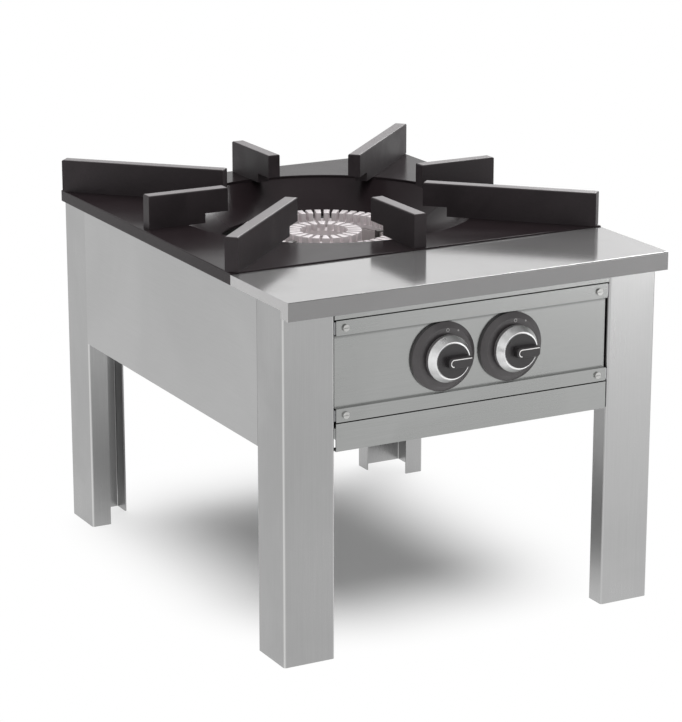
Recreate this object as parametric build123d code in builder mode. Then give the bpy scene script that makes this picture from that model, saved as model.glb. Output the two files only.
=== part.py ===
from build123d import *
import os
from math import atan2, cos, degrees, hypot, radians, sin, sqrt

# Stock pot range: a low gas range with one double-ring burner.
# Millimetres, +X right, +Y to the rear, +Z up, origin under the middle of the whole range.

# ---------------------------------------------------------------- driving dimensions

# body
body_width = 500.0
body_depth = 620.0
deck_height = 440.0         # floor to the top of the bright front deck
inlet_reach = 24.0          # gas inlet thread past the back of the body

# folded legs
leg_face = 66.0
leg_return = 26.0
leg_sheet = 2.0
leg_bend = 3.0

# sheet metal
sheet = 1.5
weld_start = 1.0            # from a leg's bend to the weld that fills it
weld_fit = 0.03
flange = 20.0               # upper flanges of the side panels
lower_flange = 15.0

# front deck
deck_depth = 125.0          # part of the deck that lies on the body
apron_forward = 20.0
apron_height = 22.0
apron_return = 10.0
top_overhang = 3.0          # deck and top plate past the side panels
lip_drop = 12.4             # deck and plate lips below the deck's surface
edge_round = 1.2

# enamelled top plate with its bowl
plate_thick = 3.0
lip_gap = 0.3
deck_gap = 0.5
seat_gap = 0.3              # under pieces that lift off or slide
bowl_mouth = 191.0
bowl_foot = 132.0
bowl_depth = 36.5
bowl_wall = 3.0

# ribs of the pan support
rib_rise = 41.5
rib_thick = 16.5
rib_round = 2.0
long_rib_inner = 131.0      # inner ends of the ribs, from the burner's axis
short_rib_inner = 138.0
long_rib_inset = 5.0        # outer ends of the ribs, inside the plate's corners and edges
short_rib_inset = 8.0
rib_notch = 31.0            # length of the undercut at the inner end
rib_notch_rise = 12.0
rib_screw_from_mouth = 14.0
rib_screw_grip = 9.0
rib_screw_from_end = 22.0
long_rib_screw_from_end = 55.0

# burner
burner_drop = 84.0          # underside of the burner body below the deck
burner_wall = 4.0
outer_channel_inner = 82.0
outer_channel_outer = 106.0
outer_channel_height = 42.0
inner_channel_inner = 28.0
inner_channel_outer = 50.0
inner_channel_height = 40.0
plenum_gap = 18.0           # between the plenum and the outer channel
plenum_height = 16.0
crown_set_back = 2.0        # crown's edges inside the channel's edges
outer_crown_base = 5.0
outer_crown_height = 17.0
outer_crown_slots = 54
inner_crown_base = 8.0
inner_crown_height = 17.0
inner_crown_slots = 22
slot_width = 4.0
port_width = 1.6
crown_fit = 0.3
crown_skirt = 5.0
crown_skirt_wall = 2.2
arm_height = 12.0
arm_width = 16.0

# mixing tubes and injectors
tube_drop = 36.0            # mixing tubes' axes below the burner body
tube_outer = 17.0
tube_bore = 13.5
tube_bend = 30.0
tube_behind_front = 160.0
mouth_flange = 20.0
mouth_flange_thick = 3.0
boss_radius = 20.0
boss_drop = 4.0
boss_rise = 8.0
tube_arm = 5.0
lug_ahead = 21.0
lug_thick = 4.0
injector_radius = 6.0
injector_hex = 8.0
injector_head = 5.0
injector_nose = 5.0
injector_length = 18.0      # from the lug's front to the tip
injector_bore = 1.2
air_disc_radius = 14.0
air_disc_place = 11.0
air_disc_thick = 2.0
running_fit = 0.05

# burner rails
rail_offset = 46.0
rail_width = 18.0
rail_height = 16.0
rail_sheet = 2.0
rail_foot = 40.0
bolt_radius = 3.0
bolt_head = 5.0
bolt_head_height = 4.0

# pilots and flame sensors
pilot_angle = 28.5          # degrees forward of the X axis
sensor_angle = 13.5
pilot_from_channel = 12.0
sensor_from_channel = 10.0
bracket_thick = 2.0
bracket_length = 32.0
bracket_width = 11.0
pilot_stem = 4.0
pilot_stem_height = 32.0
pilot_pipe = 2.0
pilot_clearance = 0.1
sensor_rod = 2.5
sensor_height = 38.0
sensor_lead = 1.2
pilot_bore = 1.0
pilot_hex = 5.5
pilot_hex_height = 6.0
hood_size = 8.0
hood_height = 10.0
hood_sheet = 1.5
lead_below_rails = 5.0
lead_spread = 3.0           # to each side of the shield hole's middle
lead_ahead = 16.0           # levelled ahead of the shield
pilot_line_drop = 4.0       # below the shield hole's middle
lead_bend = 6.0

# controls
knob_offset = 45.5          # knobs' axes to each side of their middle
knob_shift = 4.0            # that middle to the right of the range's middle
knob_rise = 0.5             # above the middle of the recess
bezel_radius = 41.5
bezel_edge = 4.0
bezel_front = 8.5
bezel_bore = 20.0
ring_radius = 28.0
ring_front_radius = 22.5
ring_wall = 2.0
ring_band = 5.0
ring_short = 2.0            # ring's front behind the knob's disc
bezel_slope = 6.5
grip_round = 2.0
knob_back = 12.0            # knob's back, ahead of the panel
knob_front = 28.0           # knob's disc, ahead of the panel
grip_front = 37.0           # grip's face, ahead of the panel
grip_width = 13.0
grip_tail = 11.0
grip_tip = 20.5
spindle_radius = 4.0
spindle_flat = 1.0
spindle_hole = 6.0
plug_front = 9.0
plug_back = 7.0
tap_radius = 15.0
tap_behind_panel = 2.5
tap_length = 36.0
bonnet_thick = 3.0
tap_stub = 8.0
tap_stub_radius = 6.0
port_reach = 20.0
port_radius = 5.0
pilot_port_rise = 6.0
pilot_port_from_back = 9.0
sensor_port_drop = 9.0
sensor_port_from_back = 24.0
plug_length = 32.0
plug_end_gap = 0.4
spindle_depth = 12.0
spindle_hole_depth = 17.0
port_bore = 2.5
low_port_bore = 1.0
outer_gas_bore = 3.0
clamp_width = 20.0
clamp_half = 20.0
clamp_strap = 3.0
stem_bore = 4.0

# gas line
manifold_radius = 10.65
manifold_wall = 2.65
manifold_above_taps = 36.0
manifold_past_tap = 34.0
inlet_from_leg = 34.0
elbow_radius = 24.0
inlet_thread = 10.4775      # half of the major diameter of a G 1/2 thread
bulkhead = 12.0             # shank through the rear panel
thread_relief = 1.5         # groove between the shank and the thread
relief_depth = 1.0
inlet_bore = 8.0
nipple_inside = 30.0
locknut = 17.0
locknut_thick = 8.0
supply_radius = 5.0
supply_bore = 4.0
supply_straight = 30.0
pipe_nut = 8.5
pipe_nut_length = 10.0
nut_lip = 4.0
collar = 15.0
collar_length = 12.0
collar_wall = 4.0
hanger_thick = 3.0
left_hanger_past_tap = 24.0
right_hanger_past_tap = 59.0
hanger_reach = 16.0

# control panel
panel_below_deck = 34.5
upper_strip = 17.5
recess_height = 86.0
lower_strip = 16.0
panel_recess = 5.0
panel_return = 20.0
panel_gap = 2.0
rail_gap = 1.5
front_rail_return = 15.0
panel_screw_in = 12.0
lug_reach = 22.0

# drip tray and runners
tray_front_gap = 1.5        # under the control panel
tray_front_height = 33.0
tray_front_rise = 0.5       # above the lower edge of the side panels
tray_front_return = 12.0
tray_side_gap = 1.7
tray_length = 520.0
tray_sheet = 1.0
tray_from_leg = 16.0
tray_floor_rise = 5.0       # above the lower edge of the side panels
tray_rim_rise = 29.0
rim_width = 12.5
runner_shelf = 14.0
runner_drop = 12.0
runner_inset = 4.0

# heat shield
shield_behind_front = 104.0
shield_above_panel = 14.0   # its lower edge above that of the control panel
shield_flange = 36.0
shield_hole = 9.0
shield_inlet_hole = 13.0

# rear panel
rear_overlap = 14.0
rear_below_deck = 15.0
rear_return = 12.0
rear_inlet_fit = 0.15

# screws
screw_radius = 2.0
screw_head = 4.0
screw_head_height = 2.4
screw_length = 8.0
screw_clearance = 0.2
screw_slot = 1.0

# ---------------------------------------------------------------- places worked out from them

panel_top = deck_height - panel_below_deck
recess_top = panel_top - upper_strip
recess_bottom = recess_top - recess_height
panel_bottom = recess_bottom - lower_strip
tray_front_top = panel_bottom - tray_front_gap
tray_front_low = tray_front_top - tray_front_height
skirt_height = tray_front_low - tray_front_rise
tray_floor = skirt_height + tray_floor_rise
tray_rim = skirt_height + tray_rim_rise
shield_bottom = panel_bottom + shield_above_panel
rear_top = deck_height - rear_below_deck
knob_height = (recess_top + recess_bottom) / 2 + knob_rise
knob_x = {-1: knob_shift - knob_offset, 1: knob_shift + knob_offset}

half_width = body_width / 2
knob_reach = grip_front - panel_recess
front = -(knob_reach + body_depth + inlet_reach) / 2 + knob_reach   # front face of the legs
rear = front + body_depth
deck_under = deck_height - sheet
leg_inner = half_width - leg_face
panel_inner = half_width - sheet
plate_under = deck_under + seat_gap
plate_top = plate_under + plate_thick
lip_bottom = deck_height - lip_drop
plate_front = front + deck_depth
plate_rear = rear + top_overhang
top_half_width = half_width + top_overhang
axis_y = (plate_front + plate_rear) / 2
long_rib_outer = hypot(top_half_width, plate_rear - axis_y) - long_rib_inset
short_rib_outer = top_half_width - short_rib_inset
bowl_bottom = plate_under - bowl_depth
panel_face = front + panel_recess
shield_y = front + shield_behind_front
tap_front = panel_face + sheet + tap_behind_panel
tap_back = tap_front + bonnet_thick + tap_length
manifold_y = (tap_front + tap_back) / 2
manifold_left = knob_x[-1] - manifold_past_tap
hanger_places = (knob_x[-1] - left_hanger_past_tap, knob_x[1] + right_hanger_past_tap)
inlet_x = leg_inner - inlet_from_leg
tray_half_width = leg_inner - tray_from_leg
manifold_z = knob_height + manifold_above_taps
pipe_start = tap_back + tap_stub
burner_foot = deck_height - burner_drop
outer_channel = (outer_channel_inner, outer_channel_outer)
inner_channel = (inner_channel_inner, inner_channel_outer)
outer_channel_top = burner_foot + outer_channel_height
inner_channel_top = burner_foot + inner_channel_height
outer_crown = (outer_channel_inner + crown_set_back, outer_channel_outer - crown_set_back)
inner_crown = (inner_channel_inner + crown_set_back, inner_channel_outer - crown_set_back)
outer_crown_top = outer_channel_top + outer_crown_height
inner_crown_top = inner_channel_top + inner_crown_height
plenum_radius = outer_channel_inner - plenum_gap
pilot_radius = outer_channel_inner - pilot_from_channel
sensor_radius = outer_channel_inner - sensor_from_channel
tube_height = burner_foot - tube_drop
tube_mouth = front + tube_behind_front
tube_offset = (inner_channel_inner + plenum_radius) / 2
outer_middle = sum(outer_channel) / 2
outer_riser_y = axis_y - sqrt(outer_middle ** 2 - tube_offset ** 2)
lead_height = burner_foot - rail_height - lead_below_rails
lead_offset = knob_offset + 2 * port_reach
lug_y = tube_mouth - lug_ahead
arm_top = burner_foot + arm_height
bracket_top = arm_top + bracket_thick
sensor_top = bracket_top + sensor_height
runner_top = tray_rim - seat_gap

os.makedirs("parts", exist_ok=True)


# ---------------------------------------------------------------- helpers

def save(builder, name):
    builder.part.label = name
    export_step(builder.part, f"parts/{name}.step")


def slab(x, y, z, mode=Mode.ADD):
    """A box between two limits along each axis, in any order."""
    with Locations(((x[0] + x[1]) / 2, (y[0] + y[1]) / 2, (z[0] + z[1]) / 2)):
        Box(abs(x[1] - x[0]), abs(y[1] - y[0]), abs(z[1] - z[0]), mode=mode)


def bar(plane, start, end, radius, end_radius=None, mode=Mode.ADD):
    """A round bar, or a cone, along a plane's normal."""
    with BuildSketch(plane.offset(start)) as disc:
        Circle(radius)
    if end_radius is None:
        extrude(disc.sketch, amount=end - start, mode=mode)
    else:
        with BuildSketch(plane.offset(end)) as end_disc:
            Circle(end_radius)
        loft([disc.sketch, end_disc.sketch], mode=mode)


def hexagon(plane, start, end, radius, mode=Mode.ADD):
    with BuildSketch(plane.offset(start)) as outline:
        RegularPolygon(radius, 6, major_radius=False)
    extrude(outline.sketch, amount=end - start, mode=mode)


def screw(plane, length=screw_length):
    """Slotted screw: the plane lies under its head, and its normal points out of the head."""
    bar(plane, -length, 0, screw_radius)
    bar(plane, 0, screw_head_height, screw_head)
    with BuildSketch(plane.offset(screw_head_height)) as slot:
        Rectangle(screw_head * 3, screw_slot)
    extrude(slot.sketch, amount=-screw_slot, mode=Mode.SUBTRACT)


def tube(points, bend, radius, bore=None):
    """A round pipe along straight runs joined by arcs."""
    with BuildLine() as route:
        FilletPolyline(*points, radius=bend)
    start = Plane(origin=route.wire() @ 0, z_dir=route.wire() % 0)
    with BuildSketch(start) as section:
        Circle(radius)
        if bore:
            Circle(bore, mode=Mode.SUBTRACT)
    sweep(section.sketch, path=route.wire())


def ring(inner, outer, low, high, mode=Mode.ADD):
    """A round ring about the burner's axis."""
    with BuildSketch(Plane((0, axis_y, low))) as band:
        Circle(outer)
        if inner:
            Circle(inner, mode=Mode.SUBTRACT)
    extrude(band.sketch, amount=high - low, mode=mode)


def around(angle, radius):
    """Point at an angle and radius about the burner's axis."""
    return (radius * cos(radians(angle)), axis_y + radius * sin(radians(angle)))


def along_y(x, y, z):
    return Plane(origin=(x, y, z), x_dir=(1, 0, 0), z_dir=(0, 1, 0))


def facing_front(x, y, z):
    return Plane(origin=(x, y, z), x_dir=(1, 0, 0), z_dir=(0, -1, 0))


sides = {"left": -1, "right": 1}

# ---------------------------------------------------------------- legs

rear_screw_x = leg_inner + rear_overlap / 2
rear_screw_heights = [skirt_height + leg_return, (skirt_height + rear_top) / 2, rear_top - leg_return]


def folded_leg(side, face_y, inward):
    """Open folded channel: face, outer side and a return at each free edge."""
    inner_x = side * leg_inner
    outer_x = side * half_width
    lip_x = side * (half_width - leg_return)
    corners = [
        (inner_x, face_y + inward * leg_return),
        (inner_x, face_y),
        (outer_x, face_y),
        (outer_x, face_y + inward * leg_face),
        (lip_x, face_y + inward * leg_face),
    ]
    hollow_side = Side.RIGHT if side * inward < 0 else Side.LEFT
    with BuildSketch(Plane.XY) as channel:
        with BuildLine():
            FilletPolyline(*corners, radius=leg_bend)
            offset(amount=leg_sheet, side=hollow_side)
        make_face()
    extrude(channel.sketch, amount=deck_under)


runner_screw_places = [front + leg_return / 2, rear - leg_return / 2]


def runner_screw_plane(side, y):
    """Plane under the head of a runner screw, on the runner's inner face."""
    z = runner_top - runner_drop + screw_head + screw_clearance
    return Plane(origin=(side * (leg_inner - sheet), y, z), x_dir=(0, 1, 0), z_dir=(-side, 0, 0))


for word, side in sides.items():
    with BuildPart() as front_leg:
        folded_leg(side, front, 1)
        bar(runner_screw_plane(side, runner_screw_places[0]), -screw_length, 0, screw_radius, mode=Mode.SUBTRACT)
    save(front_leg, f"leg_front_{word}")
    with BuildPart() as rear_leg:
        folded_leg(side, rear, -1)
        bar(runner_screw_plane(side, runner_screw_places[1]), -screw_length, 0, screw_radius, mode=Mode.SUBTRACT)
        for height in rear_screw_heights:
            bar(along_y(side * rear_screw_x, rear, height), -leg_bend, 0, screw_radius, mode=Mode.SUBTRACT)
    save(rear_leg, f"leg_rear_{word}")

# ---------------------------------------------------------------- side panels, flush with the legs

for word, side in sides.items():
    outer_x = side * half_width
    side_span = (front + leg_face, rear - leg_face)
    with BuildPart() as side_panel:
        slab((outer_x, side * panel_inner), side_span, (skirt_height, deck_under))
        slab((outer_x, side * (panel_inner - flange)), side_span, (deck_under - sheet, deck_under))
        slab((outer_x, side * (panel_inner - lower_flange)), side_span, (skirt_height, skirt_height + sheet))
        for end, inward in ((side_span[0], 1), (side_span[1], -1)):
            slab((outer_x, side * (half_width - leg_return)), (end, end + inward * sheet), (skirt_height, deck_under))
            weld = (end - inward * (leg_bend - weld_start), end)
            slab((outer_x, side * (half_width - leg_bend)), weld, (skirt_height, deck_under))
            bend = Plane((side * (half_width - leg_bend), end - inward * leg_bend, skirt_height))
            bar(bend, 0, deck_under - skirt_height, leg_bend + weld_fit, mode=Mode.SUBTRACT)
    save(side_panel, f"side_panel_{word}")

# ---------------------------------------------------------------- rear panel with the inlet hole

with BuildPart() as rear_panel:
    rear_half = leg_inner + rear_overlap
    slab((-rear_half, rear_half), (rear, rear + sheet), (skirt_height, rear_top))
    for low in (skirt_height, rear_top - sheet):
        slab((-leg_inner + panel_gap, leg_inner - panel_gap), (rear - rear_return, rear), (low, low + sheet))
    bar(along_y(inlet_x, rear, manifold_z), -sheet, 2 * sheet, bulkhead + rear_inlet_fit, mode=Mode.SUBTRACT)
    for side in sides.values():
        for height in rear_screw_heights:
            hole = along_y(side * rear_screw_x, rear, height)
            bar(hole, 0, sheet, screw_radius + screw_clearance, mode=Mode.SUBTRACT)
save(rear_panel, "rear_panel")

with BuildPart() as rear_screws:
    for side in sides.values():
        for height in rear_screw_heights:
            screw(along_y(side * rear_screw_x, rear + sheet, height))
save(rear_screws, "rear_panel_screws")

# ---------------------------------------------------------------- front top rail

with BuildPart() as front_rail:
    rail_bottom = panel_top + rail_gap
    slab((-leg_inner, leg_inner), (front, front + sheet), (rail_bottom, deck_under))
    for low in (rail_bottom, deck_under - sheet):
        slab((-leg_inner, leg_inner), (front, front + front_rail_return), (low, low + sheet))
save(front_rail, "front_rail")

# ---------------------------------------------------------------- front deck with its apron

with BuildPart() as deck:
    apron_front = front - apron_forward
    deck_rear = plate_front - deck_gap
    slab((-top_half_width, top_half_width), (apron_front, deck_rear), (deck_under, deck_height))
    apron_low = deck_height - apron_height
    slab((-top_half_width, top_half_width), (apron_front, apron_front + sheet), (apron_low, deck_height))
    slab(
        (-top_half_width, top_half_width),
        (apron_front, apron_front + apron_return),
        (apron_low, apron_low + sheet),
    )
    for side in sides.values():
        lip = (side * top_half_width, side * (top_half_width - sheet))
        slab(lip, (apron_front, deck_rear), (lip_bottom, deck_height))
        slab(lip, (apron_front, front - panel_gap), (apron_low, deck_height))
    top_edges = deck.edges().group_by(Axis.Z)[-1]
    fillet(top_edges.sort_by(Axis.Y)[0], edge_round)
save(deck, "front_deck")

# ---------------------------------------------------------------- control panel

panel_half = leg_inner - panel_gap
panel_screw_x = panel_half - panel_screw_in
panel_screw_heights = [(panel_top + recess_top) / 2, (recess_bottom + panel_bottom) / 2]

with BuildPart() as control_panel:
    with BuildSketch(Plane(origin=(-panel_half, 0, 0), x_dir=(0, 1, 0), z_dir=(1, 0, 0))):
        with BuildLine():
            Polyline(
                (front + panel_return, panel_top),
                (front, panel_top),
                (front, recess_top),
                (panel_face, recess_top),
                (panel_face, recess_bottom),
                (front, recess_bottom),
                (front, panel_bottom),
                (front + panel_return, panel_bottom),
            )
            offset(amount=sheet, side=Side.LEFT, kind=Kind.INTERSECTION)
        make_face()
    extrude(amount=2 * panel_half)
    for side in sides.values():
        spindle_place = along_y(knob_x[side], panel_face, knob_height)
        bar(spindle_place, 0, sheet, spindle_hole, mode=Mode.SUBTRACT)
        for height in panel_screw_heights:
            hole = along_y(side * panel_screw_x, front, height)
            bar(hole, 0, sheet, screw_radius + screw_clearance, mode=Mode.SUBTRACT)
save(control_panel, "control_panel")

with BuildPart() as panel_lugs:
    lug_bands = [(recess_top + sheet, panel_top - sheet), (panel_bottom + sheet, recess_bottom - sheet)]
    for side in sides.values():
        for (low, high), height in zip(lug_bands, panel_screw_heights):
            behind = front + sheet
            slab((side * leg_inner, side * (leg_inner - lug_reach)), (behind, behind + leg_sheet), (low, high))
            slab((side * leg_inner, side * (leg_inner - leg_sheet)), (behind, front + panel_return), (low, high))
            hole = along_y(side * panel_screw_x, behind, height)
            bar(hole, 0, leg_sheet, screw_radius, mode=Mode.SUBTRACT)
save(panel_lugs, "panel_lugs")

with BuildPart() as panel_screws:
    for side in sides.values():
        for height in panel_screw_heights:
            screw(facing_front(side * panel_screw_x, front, height))
save(panel_screws, "panel_screws")

# ---------------------------------------------------------------- drip tray on its runners

with BuildPart() as tray_front:
    tray_front_half = leg_inner - tray_side_gap
    slab((-tray_front_half, tray_front_half), (front, front + sheet), (tray_front_low, tray_front_top))
    for low in (tray_front_low, tray_front_top - sheet):
        slab((-tray_front_half, tray_front_half), (front, front + tray_front_return), (low, low + sheet))
save(tray_front, "drip_tray_front")

with BuildPart() as drip_tray:
    tray_span = (front + sheet, front + tray_length)
    inner_half = tray_half_width - tray_sheet
    slab((-tray_half_width, tray_half_width), tray_span, (tray_floor, tray_rim + tray_sheet))
    slab(
        (-inner_half, inner_half),
        (tray_span[0] + tray_sheet, tray_span[1] - tray_sheet),
        (tray_floor + tray_sheet, tray_rim + tray_sheet),
        mode=Mode.SUBTRACT,
    )
    for side in sides.values():
        slab(
            (side * tray_half_width, side * (tray_half_width + rim_width)),
            (front + tray_front_return, tray_span[1]),
            (tray_rim, tray_rim + tray_sheet),
        )
save(drip_tray, "drip_tray")

for word, side in sides.items():
    with BuildPart() as runner:
        runner_span = (front + runner_inset, rear - runner_inset)
        web = (side * leg_inner, side * (leg_inner - sheet))
        slab(web, runner_span, (runner_top - runner_drop, runner_top))
        slab((web[0], side * (leg_inner - runner_shelf)), runner_span, (runner_top - sheet, runner_top))
        for y in runner_screw_places:
            bar(runner_screw_plane(side, y), -sheet, 0, screw_radius + screw_clearance, mode=Mode.SUBTRACT)
    save(runner, f"tray_runner_{word}")

# ---------------------------------------------------------------- heat shield behind the controls

with BuildPart() as shield:
    flange_half = panel_inner - flange
    shield_face = (shield_y, shield_y + sheet)
    slab((-panel_inner, panel_inner), shield_face, (shield_bottom, deck_under - sheet))
    slab((-flange_half, flange_half), (shield_y, shield_y + shield_flange), (deck_under - sheet, deck_under))
    pipe_places = [(side * tube_offset, tube_height) for side in sides.values()]
    lead_places = [(side * lead_offset, lead_height) for side in sides.values()]
    for x, z in pipe_places + lead_places:
        bar(along_y(x, shield_y, z), 0, sheet, shield_hole, mode=Mode.SUBTRACT)
    bar(along_y(inlet_x, shield_y, manifold_z), 0, sheet, shield_inlet_hole, mode=Mode.SUBTRACT)
save(shield, "heat_shield")

# ---------------------------------------------------------------- enamelled top plate with its bowl

with BuildPart() as top_plate:
    whole = (-top_half_width, top_half_width)
    lip_wall = top_overhang - lip_gap
    slab(whole, (plate_front, plate_rear), (plate_under, plate_top))
    slab(whole, (plate_rear - lip_wall, plate_rear), (lip_bottom, plate_top))
    for side in sides.values():
        side_lip = (side * top_half_width, side * (top_half_width - lip_wall))
        slab(side_lip, (plate_front, plate_rear), (lip_bottom, plate_top))
    fillet(top_plate.edges().group_by(Axis.Z)[-1], edge_round)
    ring(0, bowl_mouth, plate_under, plate_top, mode=Mode.SUBTRACT)
    with BuildSketch(Plane(origin=(0, axis_y, 0), x_dir=(1, 0, 0), z_dir=(0, -1, 0))):
        with BuildLine():
            Polyline(
                (bowl_mouth, plate_under),
                (bowl_foot, bowl_bottom),
                (bowl_foot, bowl_bottom - bowl_wall),
                (bowl_mouth + bowl_wall, plate_under - bowl_wall),
                (bowl_mouth + bowl_wall, plate_under),
                close=True,
            )
        make_face()
    revolve(axis=Axis((0, axis_y, 0), (0, 0, 1)))
    fillet(top_plate.edges().filter_by(GeomType.CIRCLE).group_by(Axis.Z)[-1], edge_round)
save(top_plate, "top_plate")

# ---------------------------------------------------------------- ribs of the pan support

corner_angle = degrees(atan2(plate_rear - axis_y, top_half_width))
long_angles = [corner_angle, 180 - corner_angle, 180 + corner_angle, -corner_angle]
short_angles = [0, 90, 180, 270]


def rib(angle, reach):
    """One radial rib on the top plate, undercut where it stands over the bowl."""
    inner, outer = reach
    turn = radians(angle)
    upright = Plane((0, axis_y, plate_top), x_dir=(cos(turn), sin(turn), 0), z_dir=(sin(turn), -cos(turn), 0))
    with BuildSketch(upright) as outline:
        with BuildLine():
            Polyline(
                (inner, rib_notch_rise),
                (inner + rib_notch, rib_notch_rise),
                (inner + rib_notch, 0),
                (outer, 0),
                (outer, rib_rise),
                (inner, rib_rise),
                close=True,
            )
        make_face()
    extrude(outline.sketch, amount=rib_thick / 2, both=True)


def rib_screw_points(angle, reach, from_end):
    return [around(angle, bowl_mouth + rib_screw_from_mouth), around(angle, reach[1] - from_end)]


rib_sets = {
    "pan_ribs_long": (long_angles, (long_rib_inner, long_rib_outer), long_rib_screw_from_end),
    "pan_ribs_short": (short_angles, (short_rib_inner, short_rib_outer), rib_screw_from_end),
}
rib_screw_depth = plate_thick + rib_screw_grip
for name, (angles, reach, from_end) in rib_sets.items():
    with BuildPart() as ribs:
        for angle in angles:
            rib(angle, reach)
        fillet(ribs.edges().group_by(Axis.Z)[-1], rib_round)
        for angle in angles:
            for x, y in rib_screw_points(angle, reach, from_end):
                bar(Plane((x, y, plate_under)), 0, rib_screw_depth, screw_radius, mode=Mode.SUBTRACT)
    save(ribs, name)

all_rib_screws = [
    point
    for angles, reach, from_end in rib_sets.values()
    for angle in angles
    for point in rib_screw_points(angle, reach, from_end)
]
with BuildPart(mode=Mode.PRIVATE) as drilled_plate:
    add(top_plate.part)
    for x, y in all_rib_screws:
        bar(Plane((x, y, plate_under)), 0, plate_thick, screw_radius + screw_clearance, mode=Mode.SUBTRACT)
save(drilled_plate, "top_plate")

with BuildPart() as rib_screws:
    for x, y in all_rib_screws:
        screw(Plane(origin=(x, y, plate_under), x_dir=(1, 0, 0), z_dir=(0, 0, -1)), rib_screw_depth)
save(rib_screws, "rib_screws")

# ---------------------------------------------------------------- burner body

bolt_x = sqrt(outer_middle ** 2 - rail_offset ** 2)
bolt_points = [(sx * bolt_x, axis_y + sy * rail_offset) for sx in (-1, 1) for sy in (-1, 1)]
risers = {"left": (-tube_offset, axis_y), "right": (tube_offset, outer_riser_y)}
pilot_angles = {"left": 180 + pilot_angle, "right": -pilot_angle}
sensor_angles = {"left": 180 + sensor_angle, "right": -sensor_angle}
plenum_top = burner_foot + plenum_height
floor_top = burner_foot + burner_wall

with BuildPart() as burner_body:
    ring(*outer_channel, burner_foot, outer_channel_top)
    ring(0, plenum_radius, burner_foot, plenum_top)
    ring(*inner_channel, burner_foot, inner_channel_top)
    for angle in [90, *pilot_angles.values()]:
        with Locations((0, axis_y, burner_foot + arm_height / 2)):
            with PolarLocations((plenum_radius + outer_channel[0]) / 2, 1, start_angle=angle):
                Box(outer_channel[0] - plenum_radius + burner_wall, arm_width, arm_height)
    for x, y in risers.values():
        bar(Plane((x, y, burner_foot)), -boss_drop, boss_rise, boss_radius)
    ring(
        outer_channel[0] + burner_wall,
        outer_channel[1] - burner_wall,
        floor_top,
        outer_channel_top,
        mode=Mode.SUBTRACT,
    )
    ring(
        inner_channel[0] + burner_wall,
        plenum_radius - burner_wall,
        floor_top,
        plenum_top - burner_wall,
        mode=Mode.SUBTRACT,
    )
    ring(
        inner_channel[0] + burner_wall,
        inner_channel[1] - burner_wall,
        floor_top,
        inner_channel_top,
        mode=Mode.SUBTRACT,
    )
    for x, y in risers.values():
        bar(Plane((x, y, burner_foot)), -boss_drop, burner_wall, tube_bore, mode=Mode.SUBTRACT)
    for x, y in bolt_points:
        bar(Plane((x, y, burner_foot)), 0, burner_wall, bolt_radius, mode=Mode.SUBTRACT)
    for angle in pilot_angles.values():
        x, y = around(angle, pilot_radius)
        bar(Plane((x, y, burner_foot)), 0, arm_height, pilot_pipe + pilot_clearance, mode=Mode.SUBTRACT)
save(burner_body, "burner_body")

# ---------------------------------------------------------------- slotted crowns


def crown(band, channel, seat, base, top, slots):
    """A slotted ring that drops into its channel and gives the flames their ports."""
    middle = sum(band) / 2
    width = band[1] - band[0]
    skirt_in = channel[0] + burner_wall + crown_fit
    skirt_out = channel[1] - burner_wall - crown_fit
    ring(*band, seat, top)
    ring(skirt_in, skirt_out, seat - crown_skirt, seat)
    ring(skirt_in + crown_skirt_wall, skirt_out - crown_skirt_wall, seat - crown_skirt, seat, mode=Mode.SUBTRACT)
    slot_low = seat + base
    with Locations((0, axis_y, (slot_low + top) / 2)):
        with PolarLocations(middle, slots):
            Box(width + crown_skirt, slot_width, top - slot_low, mode=Mode.SUBTRACT)
    with Locations((0, axis_y, (seat + slot_low) / 2)):
        with PolarLocations(middle, slots):
            Box(width / 2, port_width, base, mode=Mode.SUBTRACT)


with BuildPart() as outer_ring:
    crown(outer_crown, outer_channel, outer_channel_top + seat_gap, outer_crown_base, outer_crown_top, outer_crown_slots)
save(outer_ring, "outer_crown")

with BuildPart() as inner_ring:
    crown(inner_crown, inner_channel, inner_channel_top + seat_gap, inner_crown_base, inner_crown_top, inner_crown_slots)
save(inner_ring, "inner_crown")

# ---------------------------------------------------------------- burner rails and bolts

for word, sy in (("front", -1), ("rear", 1)):
    middle_y = axis_y + sy * rail_offset
    with BuildPart() as burner_rail:
        half = rail_width / 2
        band = (burner_foot - rail_height, burner_foot)
        slab((-panel_inner, panel_inner), (middle_y - half, middle_y + half), (burner_foot - rail_sheet, burner_foot))
        for edge in (-half, half - rail_sheet):
            slab((-panel_inner, panel_inner), (middle_y + edge, middle_y + edge + rail_sheet), band)
        for side in sides.values():
            foot = (side * panel_inner, side * (panel_inner - rail_sheet))
            slab(foot, (middle_y - rail_foot / 2, middle_y + rail_foot / 2), band)
        for x, y in bolt_points:
            if abs(y - middle_y) < half:
                hole = Plane((x, y, burner_foot - rail_sheet))
                bar(hole, 0, rail_sheet, bolt_radius + screw_clearance, mode=Mode.SUBTRACT)
    save(burner_rail, f"burner_rail_{word}")

with BuildPart() as burner_bolts:
    for x, y in bolt_points:
        under = Plane((x, y, burner_foot - rail_sheet))
        hexagon(under, -bolt_head_height, 0, bolt_head)
        bar(under, 0, rail_sheet + burner_wall, bolt_radius)
save(burner_bolts, "burner_bolts")

# ---------------------------------------------------------------- mixing tubes, injectors, air discs

nut_seat = pipe_nut_length - nut_lip
head_end = lug_thick + injector_head

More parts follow.
